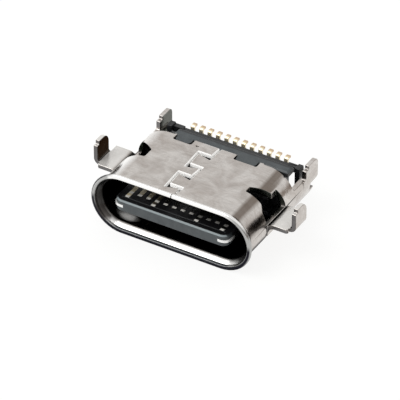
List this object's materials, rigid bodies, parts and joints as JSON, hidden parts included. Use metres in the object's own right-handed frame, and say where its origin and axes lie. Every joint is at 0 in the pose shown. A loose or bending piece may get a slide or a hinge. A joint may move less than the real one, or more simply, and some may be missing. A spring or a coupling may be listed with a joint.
{
  "type": "mid-mount reversible receptacle connector",
  "caption": "Oval-mouthed board receptacle in a folded steel shell with four upright legs, a centre tongue with contacts on both sides and a row of rear tails.",
  "frame": {"origin": "centre of the part's box, on the surface it stands on", "axes": "+X across the mouth, +Y from the mouth to the rear tails, +Z to the board side, where the legs point"},
  "size_m": [0.0118, 0.0072, 0.0035],
  "materials": {
    "shell_steel": "satin nickel plate",
    "plate_steel": "bright stainless",
    "housing_plastic": "moulded, satin",
    "contact_gold": "gold plate"
  },
  "bodies": {
    "root": {"shell": "shell_steel", "rear_housing": "housing_plastic", "tongue": "housing_plastic", "upper_contact_carrier": "housing_plastic", "lower_contact_carrier": "housing_plastic", "mid_plate": "plate_steel", "upper_ground_pad": "plate_steel", "lower_ground_pad": "plate_steel", "upper_contact_01": "contact_gold", "upper_contact_02": "contact_gold", "upper_contact_03": "contact_gold", "upper_contact_04": "contact_gold", "upper_contact_05": "contact_gold", "upper_contact_06": "contact_gold", "upper_contact_07": "contact_gold", "upper_contact_08": "contact_gold", "upper_contact_09": "contact_gold", "upper_contact_10": "contact_gold", "upper_contact_11": "contact_gold", "upper_contact_12": "contact_gold", "lower_contact_01": "contact_gold", "lower_contact_02": "contact_gold", "lower_contact_03": "contact_gold", "lower_contact_04": "contact_gold", "lower_contact_05": "contact_gold", "lower_contact_06": "contact_gold", "lower_contact_07": "contact_gold", "lower_contact_08": "contact_gold", "lower_contact_09": "contact_gold", "lower_contact_10": "contact_gold", "lower_contact_11": "contact_gold", "lower_contact_12": "contact_gold"}
  },
  "joints": []
}
